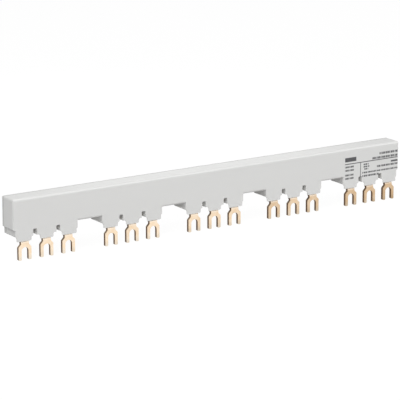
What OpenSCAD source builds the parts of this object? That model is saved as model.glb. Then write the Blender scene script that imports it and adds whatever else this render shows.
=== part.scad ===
// Three-phase fork comb busbar.
// X runs along the busbar, Y runs from the front face to the back, Z is up and the forks point down.
// The origin is the centre of the middle fork's slot, on the front face of the copper.

/* [Layout] */
// Number of devices that the busbar feeds
device_count = 5; // [2:1:6]
// Distance between neighbouring devices
device_pitch = 54; // [46:0.5:70]
// Distance between neighbouring poles of one device
pole_pitch = 13.5; // [12:0.25:15]
// From the outermost fork's centre to the end of the housing
end_margin = 7.1; // [6.6:0.1:12]
// From a device's outer fork centre to the side of the skirt
skirt_margin = 5.75; // [5:0.05:6.4]

/* [Housing] */
// Height of the body, from the top to the underside between the skirts
body_h = 17; // [15:0.5:24]
// Front, top and bottom wall of the housing
wall_t = 1.2; // [0.8:0.1:1.8]
// End walls of the housing
end_wall_t = 1.5; // [1:0.1:2]
// Thickness of the rear cover's plate
cover_t = 2.1; // [1.6:0.1:4]
// Rounding of the long edges of the body
edge_r = 1.2; // [0.4:0.1:1.5]
// Rounding of the body's upright and upper end edges
end_edge_r = 1.1; // [0.4:0.1:1.4]
// Rounding of the body's lower end edges
end_foot_r = 0.6; // [0.4:0.1:1]
// How far the skirts hang below the body
skirt_h = 4.2; // [3.8:0.1:7]
// Floor of the skirt, under the copper tabs
skirt_floor_t = 1.2; // [0.8:0.1:1.4]
// Rounding of the skirts' upright edges
skirt_edge_r = 0.3; // [0.2:0.1:0.8]
// Rounding of the skirts' lower corners
skirt_corner_r = 0.9; // [0.4:0.1:1.2]
// Width and depth of the fine rebate along the seam between the two shells
seam_line = 0.2; // [0.1:0.05:0.3]

/* [Tongues and slots] */
// How far the tongues hang below the skirt
tongue_h = 2.5; // [1.8:0.1:4]
// Thickness of a tongue
tongue_t = 0.4; // [0.3:0.05:0.7]
// Width of a tongue
tongue_w = 8.1; // [6.6:0.1:9]
// From the side of the skirt to the outer tongues' outer side
tongue_inset = 0.75; // [0.4:0.05:1.6]
// Rounding of a tongue's tip corners
tongue_tip_r = 0.7; // [0.3:0.1:1.2]
// Rounding in the corner between a tongue and the skirt
tongue_root_r = 1.1; // [0.3:0.1:1.4]
// Width of the blind slots between the tongues
slot_w = 2.4; // [1.5:0.1:3]
// Height of the blind slots
slot_h = 3.6; // [2.5:0.1:6]
// Depth of the blind slots
slot_d = 4.5; // [2:0.1:5.5]
// From the device's middle fork to the centre of a blind slot
slot_offset = 7.15; // [6.5:0.05:7.5]
// Rounding at the top of a blind slot
slot_corner_r = 0.6; // [0.2:0.1:0.7]

/* [Copper combs] */
// Thickness of the copper strip
copper_t = 1.8; // [1.2:0.1:2.4]
// Height of the bar that joins a comb's tabs
bar_h = 10.4; // [7:0.1:11]
// From a comb's outer tab to the end of its bar
bar_overhang = 4.4; // [3:0.1:4.8]
// Inner bend radius of the cranked tabs
bend_r = 0.5; // [0.3:0.1:0.9]
// Lean of the strip in its two small cranks, in degrees from upright
crank_lean = 45; // [35:1:55]
// Width of a tab and of the fork's neck
neck_w = 4.8; // [4.4:0.1:5.8]
// Width over the two tines of a fork
fork_w = 7.8; // [7:0.1:9]
// Width of the slot in a fork
fork_slot_w = 4.3; // [3.2:0.1:5]
// Straight length of the tines, below the slot's round end
tine_len = 5.0; // [3:0.1:8]
// Copper above the slot's centre at the fork's full width
crown_h = 2.1; // [1.5:0.1:2.4]
// Height of the sloping shoulders between the neck and the crown
shoulder_h = 1.6; // [0.8:0.1:1.7]
// Rounding of the tine tips
tine_tip_r = 0.45; // [0.2:0.05:0.6]
// From the slot's centre up to the tip of the tongue
fork_reach = 5.4; // [5:0.1:9]

/* [Insulation] */
// Thickness of the insulating separators
separator_t = 1.6; // [1:0.1:2.2]

/* [Fits] */
// Gap between stacked flat pieces, on each side
stack_gap = 0.1; // [0.05:0.05:0.3]
// Gap around a copper tab in its pocket, on each side
tab_gap = 0.3; // [0.2:0.05:0.4]
// Gap between a copper tab and the pocket's floor
floor_gap = 0.15; // [0.1:0.05:0.3]

/* [Hidden] */
$fn = 48;
cut = 1;            // how far a cutting shape runs past the face that it opens
PHASES = 3;

// Heights, from the centre of the fork's slot
z_tip = -tine_len;
z_tongue = fork_reach;
z_skirt = z_tongue + tongue_h;
z_body = z_skirt + skirt_h;
z_top = z_body + body_h;
z_floor = z_skirt + skirt_floor_t;
z_cavity = z_body + wall_t;
z_ceiling = z_top - wall_t;
z_bar = (z_cavity + z_ceiling - bar_h) / 2;
z_bar_top = z_bar + bar_h;
z_run = z_floor + floor_gap;

// Depths, from the front face
layer = copper_t + separator_t + 2 * stack_gap;
y_tab = wall_t + stack_gap;
y_seam = y_tab + 2 * layer + copper_t + stack_gap;
body_d = y_seam + cover_t;
y_finger = y_tab + copper_t + bend_r + tab_gap;
y_neck = tongue_t + stack_gap;

// Lengths, from the middle of the busbar
group_x = [for (i = [0 : device_count - 1]) (i - (device_count - 1) / 2) * device_pitch];
half_len = (device_count - 1) / 2 * device_pitch + pole_pitch + end_margin;
half_cavity = half_len - end_wall_t;
half_strip = half_cavity - stack_gap;
half_skirt = pole_pitch + skirt_margin;
half_pocket = neck_w / 2 + tab_gap;

function y_bar(phase) = y_tab + phase * layer;
function pole_x(phase) = (phase - 1) * pole_pitch;

housing_grey = [0.85, 0.85, 0.84];
cover_grey = [0.80, 0.80, 0.79];
separator_grey = [0.60, 0.61, 0.62];
copper = [0.85, 0.60, 0.42];

// ---- Helpers ----

// A flat outline in X and Z, given thickness t from depth y.
module plate(y, t) {
    translate([0, y + t, 0]) rotate([90, 0, 0]) linear_extrude(t) children();
}

// A section in Y and Z, run along X from x for the length len.
module run_along(x, len) {
    translate([x, 0, 0]) rotate([90, 0, 90]) linear_extrude(len) children();
}

// A box from one corner to the other.
module box(lo, hi) {
    translate(lo) cube(hi - lo);
}

// A rectangle from lo to hi with round corners.
module rounded_rect(lo, hi, r) {
    translate([lo[0] + r, lo[1]]) square([hi[0] - lo[0] - 2 * r, hi[1] - lo[1]]);
    translate([lo[0], lo[1] + r]) square([hi[0] - lo[0], hi[1] - lo[1] - 2 * r]);
    for (x = [lo[0] + r, hi[0] - r], y = [lo[1] + r, hi[1] - r])
        translate([x, y]) circle(r);
}

// The web that fills the inside corner at the origin, between +X and +Y, with radius r.
module corner_web(r) {
    difference() {
        square(r);
        translate([r, r]) circle(r);
    }
}

// ---- Housing envelope, shared by the two shells ----

// The body's outline in X and Z, set in from the real one by inset.
module body_outline(inset = 0) {
    half = half_len - inset;
    rounded_rect([-half, z_body + 2 * end_foot_r], [half, z_top - inset], end_edge_r - inset);
    rounded_rect([-half, z_body + inset], [half, z_top - 2 * end_edge_r], end_foot_r - inset);
}

// The outline of one skirt, up into the body.
module skirt_outline(inset = 0) {
    rounded_rect([inset - half_skirt, z_skirt + inset], [half_skirt - inset, z_body + body_h / 2],
                 skirt_corner_r - inset);
}

// The body: a bar with rounded long edges and rounded ends.
module body_envelope() {
    intersection() {
        union() {
            run_along(-half_len, 2 * half_len) rounded_rect([0, z_body], [body_d, z_top], edge_r);
            // The ends keep a square lower edge, as wide as the step to the skirt
            for (side = [0, 1]) mirror([side, 0, 0])
                box([half_len - (end_margin - skirt_margin), 0, z_body],
                    [half_len, body_d, z_body + 2 * edge_r]);
        }
        translate([0, 0, z_body - cut]) linear_extrude(body_h + 2 * cut)
            rounded_rect([-half_len, 0], [half_len, body_d], end_edge_r);
        plate(-cut, body_d + 2 * cut) body_outline();
    }
}

// One skirt, which carries the tabs of one device.
module skirt_envelope() {
    intersection() {
        translate([0, 0, z_skirt]) linear_extrude(skirt_h + edge_r)
            rounded_rect([-half_skirt, 0], [half_skirt, body_d], skirt_edge_r);
        plate(-cut, body_d + 2 * cut) skirt_outline();
    }
}

module housing_envelope() {
    body_envelope();
    for (x = group_x) translate([x, 0, 0]) skirt_envelope();
}

// The part of the envelope between the depths y0 and y1.
module housing_slice(y0, y1) {
    intersection() {
        housing_envelope();
        box([-half_len - cut, y0, z_skirt - cut], [half_len + cut, y1, z_top + cut]);
    }
}

// What the fine rebate leaves of the cover, along the line where it meets the front housing.
module seam_core() {
    plate(y_seam, cover_t / 2) {
        body_outline(seam_line);
        for (x = group_x) translate([x, 0]) skirt_outline(seam_line);
    }
}

// ---- Front housing ----

// The middle tongue, in X and Z.
module middle_tongue_outline() {
    rounded_rect([-tongue_w / 2, z_tongue], [tongue_w / 2, z_floor], tongue_tip_r);
    for (side = [0, 1]) mirror([side, 0])
        translate([tongue_w / 2, z_skirt]) mirror([0, 1]) corner_web(tongue_root_r);
}

// The left tongue, wider on its outer side, which stands in a little from the skirt's.
module outer_tongue_outline() {
    translate([-pole_pitch, 0]) {
        rounded_rect([tongue_inset - skirt_margin, z_tongue], [tongue_w / 2, z_floor], tongue_tip_r);
        translate([tongue_w / 2, z_skirt]) mirror([0, 1]) corner_web(tongue_root_r);
    }
}

// A tongue's section in Y and Z. Its thickened root follows the strip's upper crank.
module tongue_section() {
    z_root = z_skirt - (wall_t - tongue_t) / tan(crank_lean);
    polygon([[0, z_tongue], [tongue_t, z_tongue], [tongue_t, z_root], [wall_t, z_skirt],
             [wall_t, z_floor], [0, z_floor]]);
}

// The three tongues of one device, which grow out of the skirt's front wall.
module tongues() {
    intersection() {
        plate(-cut, wall_t + 2 * cut) {
            middle_tongue_outline();
            for (side = [0, 1]) mirror([side, 0]) outer_tongue_outline();
        }
        run_along(-half_skirt, 2 * half_skirt) tongue_section();
    }
}

// The blind slot between two tongues, in X and Z, with its top corners rounded.
module slot_outline() {
    rounded_rect([-slot_w / 2, z_skirt - cut], [slot_w / 2, z_skirt + slot_h], slot_corner_r);
}

// The pocket that a tab comes down through, open to the back and through the skirt's floor.
module tab_pocket() {
    box([-half_pocket, wall_t, z_skirt - cut], [half_pocket, y_seam + cut, z_cavity + cut]);
}

// The core in the web between two pockets, which keeps the moulding's walls even.
module web_core() {
    box([half_pocket + wall_t, slot_d + wall_t, z_floor],
        [pole_pitch - half_pocket - wall_t, y_seam + cut, z_body]);
}

// The ledges above and below a bar, from depth y0 to y1, between the heights z_lo and z_hi.
// The lower one leaves the phase's own tabs free.
module ledges(phase, half, y0, y1, z_lo, z_hi) {
    box([-half, y0, z_bar_top + stack_gap], [half, y1, z_hi]);
    difference() {
        box([-half, y0, z_lo], [half, y1, z_bar - stack_gap]);
        for (x = group_x) translate([x + pole_x(phase), 0, 0])
            box([-half_pocket, y0 - cut, z_lo - cut], [half_pocket, y1 + cut, z_bar + cut]);
    }
}

module front_housing() color(housing_grey) {
    difference() {
        union() {
            housing_slice(-cut, y_seam);
            for (x = group_x) translate([x, 0, 0]) tongues();
        }
        box([-half_cavity, wall_t, z_cavity], [half_cavity, y_seam + cut, z_ceiling]);
        for (x = group_x) translate([x, 0, 0]) {
            for (phase = [0 : PHASES - 1]) translate([pole_x(phase), 0, 0]) tab_pocket();
            for (side = [0, 1]) mirror([side, 0, 0]) {
                web_core();
                translate([slot_offset, 0, 0]) plate(-cut, slot_d + cut) slot_outline();
            }
        }
    }
    // These ledges start inside the walls that they stand on
    ledges(0, half_cavity + end_wall_t / 2, wall_t / 2, wall_t + copper_t,
           z_cavity - wall_t / 2, z_ceiling + wall_t / 2);
}

// ---- Rear cover ----

// The finger that closes the skirt's floor behind a tab.
module floor_finger() {
    box([-half_pocket + stack_gap, y_finger, z_skirt],
        [half_pocket - stack_gap, y_seam + cover_t / 2, z_floor]);
}

module rear_cover() color(cover_grey) {
    housing_slice(y_seam + seam_line, body_d + cut);
    seam_core();
    for (x = group_x) translate([x, 0, 0])
        for (phase = [0 : PHASES - 1]) translate([pole_x(phase), 0, 0]) floor_finger();
    ledges(2, half_strip, y_seam - copper_t, y_seam + cover_t / 2,
           z_cavity + stack_gap, z_ceiling - stack_gap);
}

// ---- Copper combs ----

// One tine, with its tip rounded. Its inner side is at the slot.
module tine_outline() {
    tine_w = (fork_w - fork_slot_w) / 2;
    translate([fork_slot_w / 2, z_tip]) {
        translate([tine_tip_r, 0]) square([tine_w - 2 * tine_tip_r, tine_len]);
        translate([0, tine_tip_r]) square([tine_w, tine_len - tine_tip_r]);
        for (x = [tine_tip_r, tine_w - tine_tip_r]) translate([x, tine_tip_r]) circle(tine_tip_r);
    }
}

// The stamped outline of a fork and its neck, in X and Z.
module fork_outline() {
    for (side = [0, 1]) mirror([side, 0]) tine_outline();
    difference() {
        union() {
            translate([-fork_w / 2, 0]) square([fork_w, crown_h]);
            polygon([[-fork_w / 2, crown_h], [fork_w / 2, crown_h],
                     [neck_w / 2, crown_h + shoulder_h], [-neck_w / 2, crown_h + shoulder_h]]);
            translate([-neck_w / 2, crown_h]) square([neck_w, z_floor - crown_h]);
        }
        circle(fork_slot_w / 2);
    }
}

// The strip's section where it is cranked forward twice: close behind the tongue, and
// below its tip, so that the fork lies flush with the front face. It keeps its thickness.
module crank_section() {
    z_upper = z_skirt - (y_tab - y_neck) / tan(crank_lean);
    z_lower = z_tongue - y_neck / tan(crank_lean);
    front = [[0, z_tip - cut], [0, z_lower], [y_neck, z_tongue], [y_neck, z_upper],
             [y_tab, z_skirt], [y_tab, z_floor + cut]];
    back_shift = [copper_t, -copper_t * tan(crank_lean / 2)];
    polygon(concat(front, [for (i = [len(front) - 1 : -1 : 0]) front[i] + back_shift]));
}

// The round inside of a bend, in the corner at the origin between +X and +Y.
module bend_inside() {
    difference() {
        translate([-copper_t / 2, -copper_t / 2]) square(bend_r + copper_t / 2);
        translate([bend_r, bend_r]) circle(bend_r);
    }
}

// What the round outside of a bend takes off the square corner at the origin.
module bend_outside() {
    outer_r = bend_r + copper_t;
    difference() {
        translate([-cut, -cut]) square(outer_r + cut);
        translate([outer_r, outer_r]) circle(outer_r);
    }
}

// The section of a tab from its bar, in Y and Z: straight down for the front bar, and
// for the others down, forward under the bars in front and down again.
module tab_section(phase) {
    y = y_bar(phase);
    difference() {
        union() {
            translate([y_tab, z_skirt]) square([copper_t, z_run + copper_t - z_skirt]);
            translate([y_tab, z_run]) square([y + copper_t - y_tab, copper_t]);
            translate([y, z_run]) square([copper_t, z_bar + bar_h / 2 - z_run]);
            if (phase > 0) {
                translate([y_tab + copper_t, z_run]) mirror([0, 1]) bend_inside();
                translate([y, z_run + copper_t]) mirror([1, 0]) bend_inside();
            }
        }
        if (phase > 0) {
            translate([y_tab, z_run + copper_t]) mirror([0, 1]) bend_outside();
            translate([y + copper_t, z_run]) mirror([1, 0]) bend_outside();
        }
    }
}

// One tab with its fork.
module tab(phase) {
    run_along(-neck_w / 2, neck_w) tab_section(phase);
    intersection() {
        run_along(-fork_w / 2 - cut, fork_w + 2 * cut) crank_section();
        plate(-cut, y_tab + copper_t + 2 * cut) fork_outline();
    }
}

// A comb: one bar with a tab for each device, stamped and bent from one strip.
module phase_comb(phase) {
    translate([pole_x(phase), 0, 0]) {
        box([group_x[0] - bar_overhang, y_bar(phase), z_bar],
            [group_x[device_count - 1] + bar_overhang, y_bar(phase) + copper_t, z_bar + bar_h]);
        for (x = group_x) translate([x, 0, 0]) tab(phase);
    }
}

module phase_comb_l1() color(copper) phase_comb(0);
module phase_comb_l2() color(copper) phase_comb(1);
module phase_comb_l3() color(copper) phase_comb(2);

// ---- Separators ----

// The plain web in front of a bar.
module separator_web(phase) {
    box([-half_strip, y_bar(phase) - stack_gap - separator_t, z_cavity + stack_gap],
        [half_strip, y_bar(phase) - stack_gap, z_ceiling - stack_gap]);
}

// The front separator also carries the middle bar between its ledges.
module front_separator() color(separator_grey) {
    y = y_bar(1) - stack_gap;
    separator_web(1);
    ledges(1, half_strip, y - separator_t / 2, y + copper_t, z_cavity + stack_gap, z_ceiling - stack_gap);
}

module rear_separator() color(separator_grey) separator_web(2);

front_housing();
rear_cover();
phase_comb_l1();
phase_comb_l2();
phase_comb_l3();
front_separator();
rear_separator();
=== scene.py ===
import math

import bpy
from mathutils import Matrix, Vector


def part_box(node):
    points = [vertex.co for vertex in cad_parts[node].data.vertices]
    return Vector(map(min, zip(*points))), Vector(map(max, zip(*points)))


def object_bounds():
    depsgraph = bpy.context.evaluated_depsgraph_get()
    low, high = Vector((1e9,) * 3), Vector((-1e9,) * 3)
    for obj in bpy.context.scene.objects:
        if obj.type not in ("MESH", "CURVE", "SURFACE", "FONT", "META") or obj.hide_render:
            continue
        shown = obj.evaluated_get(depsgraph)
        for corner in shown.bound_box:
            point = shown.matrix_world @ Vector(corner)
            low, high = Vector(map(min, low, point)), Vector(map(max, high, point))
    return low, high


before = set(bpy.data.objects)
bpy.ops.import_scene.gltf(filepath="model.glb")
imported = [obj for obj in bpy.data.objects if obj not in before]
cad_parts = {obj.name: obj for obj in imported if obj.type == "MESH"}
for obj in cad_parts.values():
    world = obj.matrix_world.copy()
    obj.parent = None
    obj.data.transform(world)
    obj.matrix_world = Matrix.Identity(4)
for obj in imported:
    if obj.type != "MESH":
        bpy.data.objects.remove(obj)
cad_low, cad_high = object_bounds()

# ---- Camera ----
# A long lens stands to the left of the busbar and a little above it, so that the front
# face, the top and the left end all show. The busbar lies just off the middle of the view.
MM = 0.001
busbar_middle = (cad_low + cad_high) / 2
turn = math.radians(32.904)
tilt = math.radians(14.321)
forward = Vector((math.sin(turn) * math.cos(tilt), math.cos(turn) * math.cos(tilt), -math.sin(tilt)))
rightward = Vector((math.cos(turn), -math.sin(turn), 0))
upward = rightward.cross(forward)
camera_distance = 1431.16 * MM
aim_left = 4.934 * MM
aim_down = 1.992 * MM
aim = busbar_middle - rightward * aim_left - upward * aim_down
camera = bpy.data.objects.new("camera", bpy.data.cameras.new("camera"))
bpy.context.scene.collection.objects.link(camera)
camera.location = aim - forward * camera_distance
camera.rotation_euler = (math.pi / 2 - tilt, 0, -turn)
camera.data.sensor_width = 36
camera.data.lens = 229.28
camera.data.clip_start = 0.05
camera.data.clip_end = 50
bpy.context.scene.camera = camera

# ---- Studio ----
# A sheet of pale card just under the fork tips, five soft lamps and a white surround. Card
# and surround look white to the camera and in the copper, and the card keeps a faint shadow.
bpy.context.scene.view_settings.view_transform = "Standard"
white = (1, 1, 1, 1)
card_grey = (0.5, 0.5, 0.5, 1)
card_size = 12
card_drop = 0.4 * MM
# The share of plain white in what is seen of the card. The rest shows the lamps' shadows
white_share = 0.85


def seen_mask(tree):
    """1 where the camera looks straight, in a gloss or through glass, and 0 for other rays."""
    light_path = tree.nodes.new("ShaderNodeLightPath")
    mask = light_path.outputs["Is Camera Ray"]
    for ray in ("Is Glossy Ray", "Is Transmission Ray"):
        add = tree.nodes.new("ShaderNodeMath")
        add.operation = "ADD"
        add.use_clamp = True
        tree.links.new(mask, add.inputs[0])
        tree.links.new(light_path.outputs[ray], add.inputs[1])
        mask = add.outputs[0]
    return mask


def plain_shader(tree, kind, **values):
    """A shader node with its inputs set by name. It gives the node's output."""
    node = tree.nodes.new("ShaderNode" + kind)
    for label, value in values.items():
        node.inputs[label].default_value = value
    return node.outputs[0]


def mix_shaders(tree, share, unseen, seen, output):
    """Shows the unseen shader where the share is 0 and the seen one where it is 1."""
    mix = tree.nodes.new("ShaderNodeMixShader")
    for place, part in enumerate((share, unseen, seen)):
        tree.links.new(part, mix.inputs[place])
    tree.links.new(mix.outputs[0], tree.nodes.new("ShaderNodeOutput" + output).inputs["Surface"])


surround = bpy.data.worlds.new("surround")
bpy.context.scene.world = surround
surround.use_nodes = True
sky = surround.node_tree
sky.nodes.clear()
sky_light = plain_shader(sky, "Background", Color=white, Strength=0.2)
sky_white = plain_shader(sky, "Background", Color=white, Strength=1)
mix_shaders(sky, seen_mask(sky), sky_light, sky_white, "World")

bpy.ops.object.select_all(action="DESELECT")
bpy.ops.mesh.primitive_plane_add(size=card_size, location=(0, 0, cad_low.z - card_drop))
card = bpy.context.object
card.name = "card_floor"
card_paint = bpy.data.materials.new("white_card")
card_paint.use_nodes = True
paper = card_paint.node_tree
paper.nodes.clear()
paper_matt = plain_shader(paper, "BsdfDiffuse", Color=card_grey)
paper_white = plain_shader(paper, "Emission", Color=white, Strength=1.12)
paper_share = paper.nodes.new("ShaderNodeMath")
paper_share.operation = "MULTIPLY"
paper_share.inputs[1].default_value = white_share
paper.links.new(seen_mask(paper), paper_share.inputs[0])
mix_shaders(paper, paper_share.outputs[0], paper_matt, paper_white, "Material")
card.data.materials.append(card_paint)

# Each lamp's name, its place and size in metres, and its power in watts
soft_lamps = (
    ("right_lamp", (0.9, -0.9, 0.5), 0.8, 8.1),
    ("left_lamp", (-0.9, -0.9, 0.7), 0.7, 6.9),
    ("high_lamp", (-0.5, -0.5, 1.3), 0.7, 8.8),
    ("side_lamp", (-0.9, 0.0, 0.9), 0.6, 2.0),
    ("low_back_lamp", (0.22, 0.35, 0.13), 0.2, 0.125),
)
for lamp_name, lamp_place, lamp_size, lamp_power in soft_lamps:
    lamp = bpy.data.objects.new(lamp_name, bpy.data.lights.new(lamp_name, "AREA"))
    bpy.context.scene.collection.objects.link(lamp)
    lamp.data.shape = "SQUARE"
    lamp.data.size = lamp_size
    lamp.data.energy = lamp_power
    lamp.location = lamp_place
    lamp.rotation_euler = (busbar_middle - Vector(lamp_place)).to_track_quat("-Z", "Y").to_euler()

# ---- Front housing ----
# The moulded tray that faces the user, in light grey polyamide. One shot makes its front
# wall, top, ends, skirts and tongues, and its front carries a small printed rating table.
housing_low, housing_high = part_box("front_housing")
shaded_grey = (0.665, 0.665, 0.655)
light_grey = (0.70, 0.70, 0.69)
grain_depth = 0.03 * MM
plastic_ior = 1.5
# How many flow marks and rubs there are to the metre, along X, Y and Z
flow_marks = (18, 60, 60)
rub_marks = (90, 2500, 2500)
# The shells meet at the back of this one. The plastic is darker close to the seam, fading out at its
# reach
seam_y = housing_high.y
seam_dark_core = 0.15 * MM
seam_dark_reach = 0.5 * MM
seam_dark_colour = (0.50, 0.50, 0.49)
ink_colour = (0.07, 0.07, 0.075)
ink_gloss = 0.08
# Only what lies this near the front and faces forward, by the Y of its normal, is printed
print_depth = 0.3 * MM
print_facing = -0.9
# The soft edge of the ink, in millimetres, and the ink that reaches the hollows of the grain
print_edge = 0.03
thinnest_ink = 0.75


def new_group(name, **inputs):
    """An empty node group. Each input is a number with its default, or a vector if None.
    It gives the group and the sockets of its inputs."""
    group = bpy.data.node_groups.new(name, "ShaderNodeTree")
    for label, value in inputs.items():
        kind = "NodeSocketVector" if value is None else "NodeSocketFloat"
        made = group.interface.new_socket(label, in_out="INPUT", socket_type=kind)
        if value is not None:
            made.default_value = value
    return group, group.nodes.new("NodeGroupInput").outputs


def finish_group(group, **outputs):
    """Gives the group an output for each of these values, under its name."""
    for label in outputs:
        group.interface.new_socket(label, in_out="OUTPUT", socket_type="NodeSocketFloat")
    ends = group.nodes.new("NodeGroupOutput").inputs
    for label, value in outputs.items():
        group.links.new(value, ends[label])


def add_group(tree, group, **values):
    """Places a node group, its inputs set from numbers or outputs. It gives its outputs."""
    node = tree.nodes.new("ShaderNodeGroup")
    node.node_tree = group
    for label, value in values.items():
        if isinstance(value, (int, float)):
            node.inputs[label].default_value = value
        else:
            tree.links.new(value, node.inputs[label])
    return node.outputs


def arithmetic(tree, operation, *terms, clamp=False):
    """A Math node on numbers or on other nodes' outputs. It gives its own output."""
    node = tree.nodes.new("ShaderNodeMath")
    node.operation = operation
    node.use_clamp = clamp
    for place, term in enumerate(terms):
        if isinstance(term, (int, float)):
            node.inputs[place].default_value = term
        else:
            tree.links.new(term, node.inputs[place])
    return node.outputs[0]


def span(tree, share, low, high):
    """Low where the share is 0, high where it is 1 and in step between them."""
    return arithmetic(tree, "MULTIPLY_ADD", share, high - low, low)


def weighted_sum(tree, first, first_weight, second, second_weight):
    """Two outputs, each times its weight, added up."""
    return arithmetic(tree, "ADD", arithmetic(tree, "MULTIPLY", first, first_weight),
                      arithmetic(tree, "MULTIPLY", second, second_weight))


def noise(tree, vector, scale, detail, roughness=0.5):
    """A Noise Texture on a vector. It gives the Fac output."""
    node = tree.nodes.new("ShaderNodeTexNoise")
    for label, value in (("Scale", scale), ("Detail", detail), ("Roughness", roughness)):
        if isinstance(value, (int, float)):
            node.inputs[label].default_value = value
        else:
            tree.links.new(value, node.inputs[label])
    tree.links.new(vector, node.inputs["Vector"])
    return node.outputs["Fac"]


def stretched(tree, vector, factors):
    """The vector with each axis scaled, which draws a noise out along the smallest factor."""
    node = tree.nodes.new("ShaderNodeMapping")
    node.inputs["Scale"].default_value = factors
    tree.links.new(vector, node.inputs["Vector"])
    return node.outputs[0]


def axes(tree, vector):
    """The X, Y and Z of a vector, by name."""
    node = tree.nodes.new("ShaderNodeSeparateXYZ")
    tree.links.new(vector, node.inputs[0])
    return node.outputs


def ramp(tree, value, low, high):
    """0 below low, 1 above high and smooth between them."""
    node = tree.nodes.new("ShaderNodeMapRange")
    node.interpolation_type = "SMOOTHSTEP"
    tree.links.new(value, node.inputs["Value"])
    node.inputs["From Min"].default_value = low
    node.inputs["From Max"].default_value = high
    return node.outputs["Result"]


def blend_colours(tree, share, first, second, how="MIX"):
    """The first colour where the share is 0 and the second, or their product, where it is 1."""
    node = tree.nodes.new("ShaderNodeMix")
    node.data_type = "RGBA"
    node.blend_type = how
    tree.links.new(share, node.inputs["Factor"])
    # Inputs 6 and 7 of the node are its two colours, and output 2 is the blended one
    for place, colour in ((6, first), (7, second)):
        if isinstance(colour, tuple):
            node.inputs[place].default_value = (*colour, 1)
        else:
            tree.links.new(colour, node.inputs[place])
    return node.outputs[2]


def new_material(name):
    """A Principled material. It gives the material, its node tree, the inputs of its
    shader and the object's own coordinates."""
    material = bpy.data.materials.new(name)
    material.use_nodes = True
    tree = material.node_tree
    coordinates = tree.nodes.new("ShaderNodeTexCoord").outputs
    return material, tree, tree.nodes["Principled BSDF"].inputs, coordinates


def raise_grain(tree, shader, height, strength, depth):
    """Raises a height as a bump in the shader's normal."""
    bump = tree.nodes.new("ShaderNodeBump")
    bump.inputs["Strength"].default_value = strength
    bump.inputs["Distance"].default_value = depth
    tree.links.new(height, bump.inputs["Height"])
    tree.links.new(bump.outputs[0], shader["Normal"])


def give_material(material, *node_names):
    """Puts the material in every slot of these CAD nodes."""
    for name in node_names:
        for material_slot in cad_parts[name].material_slots:
            material_slot.material = material


# Moulded plastic has a fine spark-eroded grain, slow flow marks and a few hairline rubs.
# The marks and the rubs run along the busbar
moulded_plastic, given = new_group("moulded_plastic", Place=None, Grain=2600.0, Rubs=0.5)
tree = moulded_plastic
grain = noise(tree, given["Place"], scale=given["Grain"], detail=3.0, roughness=0.6)
flow = noise(tree, stretched(tree, given["Place"], flow_marks), scale=1.0, detail=3.0, roughness=0.55)
rub_lines = noise(tree, stretched(tree, given["Place"], rub_marks), scale=1.0, detail=2.0)
rub_patches = noise(tree, given["Place"], scale=55.0, detail=2.0)
rubs = arithmetic(tree, "MULTIPLY", ramp(tree, rub_lines, low=0.62, high=0.72),
                  ramp(tree, rub_patches, low=0.55, high=0.72))
rubs = arithmetic(tree, "MULTIPLY", rubs, given["Rubs"])
finish_group(
    moulded_plastic,
    Height=weighted_sum(tree, grain, 1.0, rubs, -0.6),
    Shade=weighted_sum(tree, flow, 0.7, grain, 0.3),
    Gloss=weighted_sum(tree, grain, 0.5, rubs, 0.5),
)

# The plastic turns darker along the fine rebate where the two shells meet, more in some places
seam_darkening, given = new_group("seam_darkening", Place=None, Seam=0.0)
tree = seam_darkening
off_seam = arithmetic(tree, "SUBTRACT", axes(tree, given["Place"])["Y"], given["Seam"])
off_seam = arithmetic(tree, "ABSOLUTE", off_seam)
near_seam = arithmetic(tree, "SUBTRACT", 1.0, ramp(tree, off_seam, low=seam_dark_core, high=seam_dark_reach))
patchy = ramp(tree, noise(tree, given["Place"], scale=120.0, detail=3.0), low=0.2, high=0.6)
patchy = span(tree, patchy, low=0.5, high=1.0)
finish_group(seam_darkening, Dust=arithmetic(tree, "MULTIPLY", near_seam, patchy))

# A printed bar or a row of short dashes on the front face, by its two ends and its level,
# all in millimetres. Two lengths of dash that don't divide into each other leave uneven gaps
printed_row, given = new_group("printed_row", Along=0.0, Up=0.0, Start=0.0, End=1.0, Level=0.0,
                               Thickness=0.3, Gaps=0.0)
tree = printed_row
past_start = arithmetic(tree, "SUBTRACT", given["Along"], given["Start"])
before_end = arithmetic(tree, "SUBTRACT", given["End"], given["Along"])
off_level = arithmetic(tree, "ABSOLUTE", arithmetic(tree, "SUBTRACT", given["Up"], given["Level"]))
half_thickness = arithmetic(tree, "MULTIPLY", given["Thickness"], 0.5)
nearest_edge = arithmetic(tree, "MINIMUM", arithmetic(tree, "MINIMUM", past_start, before_end),
                          arithmetic(tree, "SUBTRACT", half_thickness, off_level))
bar = ramp(tree, nearest_edge, low=-print_edge, high=print_edge)
dashes = []
for dashes_a_millimetre, gap_share in ((0.83, 0.18), (0.31, 0.1)):
    dash = arithmetic(tree, "FRACT", arithmetic(tree, "MULTIPLY", given["Along"], dashes_a_millimetre))
    dashes.append(arithmetic(tree, "GREATER_THAN", dash, gap_share))
gaps = arithmetic(tree, "SUBTRACT", 1.0, arithmetic(tree, "MULTIPLY", *dashes))
gaps = arithmetic(tree, "MULTIPLY", given["Gaps"], gaps)
unbroken = arithmetic(tree, "SUBTRACT", 1.0, gaps)
finish_group(printed_row, Ink=arithmetic(tree, "MULTIPLY", bar, unbroken))

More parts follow.
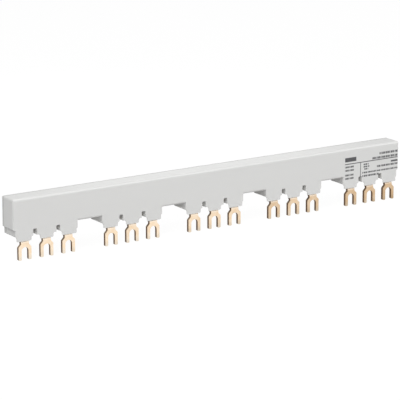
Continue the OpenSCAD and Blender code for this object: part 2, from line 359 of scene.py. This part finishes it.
# The table's rows, in millimetres: where each starts and ends, back from the right end of
# the housing, its level, down from the top, its thickness, and 1 if it is broken into dashes
table_rows = (
    (38.7, 30.7, 6.7, 2.5, 0),      # heading bar
    (14.0, 0.5, 5.6, 1.3, 1),
    (19.2, 0.5, 8.0, 1.3, 1),
    (38.8, 0.5, 9.25, 0.5, 0),      # long rule
    (38.8, 32.4, 11.0, 1.05, 1),
    (38.8, 32.0, 13.0, 1.05, 1),
    (38.8, 32.6, 15.8, 1.05, 1),
    (38.8, 32.4, 17.8, 1.05, 1),
    (5.6, 0.5, 11.2, 1.05, 0),
    (15.9, 0.5, 13.1, 1.15, 1),
    (26.3, 0.5, 15.7, 0.9, 1),
    (26.5, 14.5, 17.7, 1.05, 1),
    (25.6, 21.8, 10.8, 0.95, 1),
    (25.6, 21.2, 12.2, 0.95, 1),
    (24.8, 22.0, 13.6, 0.95, 1),
)
# The upright rule runs down instead of along, so its level is measured from the end
upright_rule = {"Start": -17.6, "End": -9.25, "Level": -27.6, "Thickness": 0.42}

housing_paint, tree, shader, coordinates = new_material("housing_plastic")
plastic = add_group(tree, moulded_plastic, Place=coordinates["Object"])
spot = axes(tree, coordinates["Object"])
from_end = arithmetic(tree, "SUBTRACT", spot["X"], housing_high.x)
from_end = arithmetic(tree, "MULTIPLY", from_end, 1 / MM)
from_top = arithmetic(tree, "SUBTRACT", spot["Z"], housing_high.z)
from_top = arithmetic(tree, "MULTIPLY", from_top, 1 / MM)
printed = add_group(tree, printed_row, Along=from_top, Up=from_end, **upright_rule)["Ink"]
for start, end, level, thickness, broken in table_rows:
    row = add_group(tree, printed_row, Along=from_end, Up=from_top, Start=-start, End=-end,
                    Level=-level, Thickness=thickness, Gaps=broken)
    printed = arithmetic(tree, "MAXIMUM", printed, row["Ink"])
near_front = arithmetic(tree, "LESS_THAN", spot["Y"], housing_low.y + print_depth)
faces_front = arithmetic(tree, "LESS_THAN", axes(tree, coordinates["Normal"])["Y"], print_facing)
on_front = arithmetic(tree, "MULTIPLY", near_front, faces_front)
full_ink = ramp(tree, plastic["Height"], low=0.2, high=0.45)
ink_cover = span(tree, full_ink, low=thinnest_ink, high=1.0)
ink_share = arithmetic(tree, "MULTIPLY", arithmetic(tree, "MULTIPLY", printed, on_front), ink_cover)
plastic_colour = blend_colours(tree, plastic["Shade"], shaded_grey, light_grey)
seam_dark = add_group(tree, seam_darkening, Place=coordinates["Object"], Seam=seam_y)["Dust"]
plastic_colour = blend_colours(tree, seam_dark, plastic_colour, seam_dark_colour)
tree.links.new(blend_colours(tree, ink_share, plastic_colour, ink_colour), shader["Base Color"])
# The ink is a little glossier than the plastic
roughness = span(tree, plastic["Gloss"], low=0.40, high=0.56)
roughness = arithmetic(tree, "MULTIPLY_ADD", ink_share, -ink_gloss, roughness)
tree.links.new(roughness, shader["Roughness"])
raise_grain(tree, shader, plastic["Height"], strength=0.25, depth=grain_depth)
shader["IOR"].default_value = plastic_ior
give_material(housing_paint, "front_housing")

# ---- Rear cover ----
# A flat moulded plate of the same plastic that snaps on from behind and closes the tray.
# It comes from another tool, so its tone is a shade apart and its grain a little coarser.
cover_shaded_grey = (0.64, 0.64, 0.63)
cover_light_grey = (0.68, 0.68, 0.67)
cover_paint, tree, shader, coordinates = new_material("cover_plastic")
plastic = add_group(tree, moulded_plastic, Place=coordinates["Object"], Grain=2100.0, Rubs=1.0)
plastic_colour = blend_colours(tree, plastic["Shade"], cover_shaded_grey, cover_light_grey)
seam_dark = add_group(tree, seam_darkening, Place=coordinates["Object"], Seam=seam_y)["Dust"]
tree.links.new(blend_colours(tree, seam_dark, plastic_colour, seam_dark_colour), shader["Base Color"])
tree.links.new(span(tree, plastic["Gloss"], low=0.42, high=0.60), shader["Roughness"])
raise_grain(tree, shader, plastic["Height"], strength=0.3, depth=grain_depth)
shader["IOR"].default_value = plastic_ior
give_material(cover_paint, "rear_cover")

# ---- Phase combs ----
# Three bare copper combs, each stamped from one strip and bent. The rolled faces are satin
# with fine rolling lines, and the sheared edges are rougher and darker, partly torn metal and
# partly painted shade, all but the burnished band that the die leaves along the front. The
# strips also carry a painted sheen, a painted highlight on upward edges and painted light
# under the tongues.
# Painted sheen: the copper where the painted sheen is full, and where it has faded
copper_in_painted_sheen = (0.93, 0.775, 0.60)
copper_out_of_painted_sheen = (0.455, 0.295, 0.15)
# Painted light for the necks close under the tongues
painted_light_copper = (1.0, 0.93, 0.83)
# Torn edges, their colour partly torn metal and partly painted shade
torn_copper_and_painted_shade = (0.13, 0.075, 0.04)
# These two tint what they lie on
warm_tint = (1.0, 0.95, 0.88)
tip_tint = (0.86, 0.92, 1.0)
# A sheared edge is torn, and painted dark as painted shade, from this far behind the front face, along
# a line with this wave
torn_and_shaded_from = -0.05 * MM
torn_and_shaded_fully = 0.25 * MM
torn_and_shaded_wave = 0.3 * MM
# How far below the slot's round end the tines start to turn duller and less red, and are fully so
tip_dulling_start = 1.0 * MM
tip_dulling_end = 4.6 * MM
# Between these levels, close under the tongues, the necks are painted lighter: painted light against
# the shade that the tongues cast
painted_neck_light_start = 4.0 * MM
painted_neck_light_end = 5.2 * MM
painted_neck_light_share = 0.55
# A painted sheen: the strips are painted brighter towards the left end of the busbar and duller
# towards the right
painted_sheen_full_at = -100 * MM
painted_sheen_gone_at = 230 * MM
rolling_depth = 0.02 * MM
# How many rolling lines and shear lines there are to the metre, along X, Y and Z
rolling_marks = (4000, 4000, 160)
shear_marks = (3000, 500, 3000)
# The shear lines stand this many times higher, and leave the edge this much rougher
shear_height = 2.5
shear_roughness = 0.2

rolled_copper, given = new_group("rolled_copper", Place=None, Normal=None)
tree = rolled_copper
place = given["Place"]
rolling_lines = noise(tree, stretched(tree, place, rolling_marks), scale=1.0, detail=2.0)
shear_lines = noise(tree, stretched(tree, place, shear_marks), scale=1.0, detail=2.0, roughness=0.6)
blotches = noise(tree, place, scale=260.0, detail=3.0, roughness=0.6)
strip_tone = noise(tree, place, scale=42.0, detail=1.0)
warm_patches = noise(tree, place, scale=340.0, detail=2.0)
spot = axes(tree, place)
facing = axes(tree, given["Normal"])
# What faces neither forward nor back is a sheared edge
rolled = ramp(tree, arithmetic(tree, "ABSOLUTE", facing["Y"]), low=0.25, high=0.6)
sheared = arithmetic(tree, "SUBTRACT", 1.0, rolled)
# The torn part of the edge, with its painted shade, starts along a wavy line, and edges that face up,
# such as the sloping shoulders, get less of it as a painted highlight
wavy_depth = noise(tree, place, scale=900.0, detail=2.0)
wavy_depth = arithmetic(tree, "MULTIPLY_ADD", wavy_depth, -torn_and_shaded_wave, spot["Y"])
torn_and_painted_shade = arithmetic(tree, "MULTIPLY", sheared, ramp(tree, wavy_depth, low=torn_and_shaded_from, high=torn_and_shaded_fully))
upward_painted_highlight = ramp(tree, facing["Z"], low=0.15, high=0.6)
torn_and_painted_shade = arithmetic(tree, "MULTIPLY", torn_and_painted_shade, span(tree, upward_painted_highlight, low=1.0, high=0.75))
# The tines turn duller and less red towards their tips
below = arithmetic(tree, "MULTIPLY", spot["Z"], -1.0)
tip_dulling = ramp(tree, below, low=tip_dulling_start, high=tip_dulling_end)
rolled_height = arithmetic(tree, "MULTIPLY", rolling_lines, arithmetic(tree, "SUBTRACT", 1.0, sheared))
sheared_height = arithmetic(tree, "MULTIPLY", sheared, shear_height)
sheared_height = arithmetic(tree, "MULTIPLY", shear_lines, sheared_height)
tarnish = weighted_sum(tree, blotches, 0.5, strip_tone, 0.5)
finish_group(
    rolled_copper,
    Height=arithmetic(tree, "ADD", rolled_height, sheared_height),
    Tarnish=ramp(tree, tarnish, low=0.35, high=0.65),
    Sheared=sheared,
    Torn=torn_and_painted_shade,
    Worn=tip_dulling,
    Tint=ramp(tree, warm_patches, low=0.35, high=0.65),
    Gloss=weighted_sum(tree, rolling_lines, 0.4, blotches, 0.6),
)

copper_paint, tree, shader, coordinates = new_material("rolled_copper")
strip = add_group(tree, rolled_copper, Place=coordinates["Object"], Normal=coordinates["Normal"])
spot = axes(tree, coordinates["Object"])
# The patches of tarnish shift the painted sheen's fade from bright to dull a little both ways
tarnish_shift = span(tree, strip["Tarnish"], low=-0.15, high=0.15)
painted_sheen_fade = arithmetic(tree, "ADD", ramp(tree, spot["X"], low=painted_sheen_full_at, high=painted_sheen_gone_at), tarnish_shift,
                    clamp=True)
copper_colour = blend_colours(tree, painted_sheen_fade, copper_in_painted_sheen, copper_out_of_painted_sheen)
copper_colour = blend_colours(tree, strip["Tint"], copper_colour, warm_tint, "MULTIPLY")
copper_colour = blend_colours(tree, strip["Worn"], copper_colour, tip_tint, "MULTIPLY")
# The necks close under the tongues are painted lighter, as painted light against their shade
painted_neck_light = ramp(tree, spot["Z"], low=painted_neck_light_start, high=painted_neck_light_end)
painted_neck_light = arithmetic(tree, "MULTIPLY", painted_neck_light, painted_neck_light_share)
copper_colour = blend_colours(tree, painted_neck_light, copper_colour, painted_light_copper)
# Sheared edges are darkened, partly as torn metal and partly as painted shade
copper_colour = blend_colours(tree, strip["Torn"], copper_colour, torn_copper_and_painted_shade)
tree.links.new(copper_colour, shader["Base Color"])
shader["Metallic"].default_value = 1
roughness = span(tree, strip["Gloss"], low=0.22, high=0.42)
added_roughness = arithmetic(tree, "MULTIPLY", strip["Sheared"], shear_roughness)
tree.links.new(arithmetic(tree, "ADD", roughness, added_roughness), shader["Roughness"])
raise_grain(tree, shader, strip["Height"], strength=0.3, depth=rolling_depth)
give_material(copper_paint, "phase_comb_l1", "phase_comb_l2", "phase_comb_l3")

# ---- Separators ----
# Two darker grey insulating webs between the combs, extruded and cut to length. The front
# one also carries the middle comb between its ledges.
dark_grey = (0.27, 0.28, 0.29)
mid_grey = (0.33, 0.34, 0.35)
separator_paint, tree, shader, coordinates = new_material("separator_plastic")
plastic = add_group(tree, moulded_plastic, Place=coordinates["Object"], Grain=1800.0, Rubs=0.3)
tree.links.new(blend_colours(tree, plastic["Shade"], dark_grey, mid_grey), shader["Base Color"])
tree.links.new(span(tree, plastic["Gloss"], low=0.55, high=0.70), shader["Roughness"])
raise_grain(tree, shader, plastic["Height"], strength=0.3, depth=grain_depth)
give_material(separator_paint, "front_separator", "rear_separator")
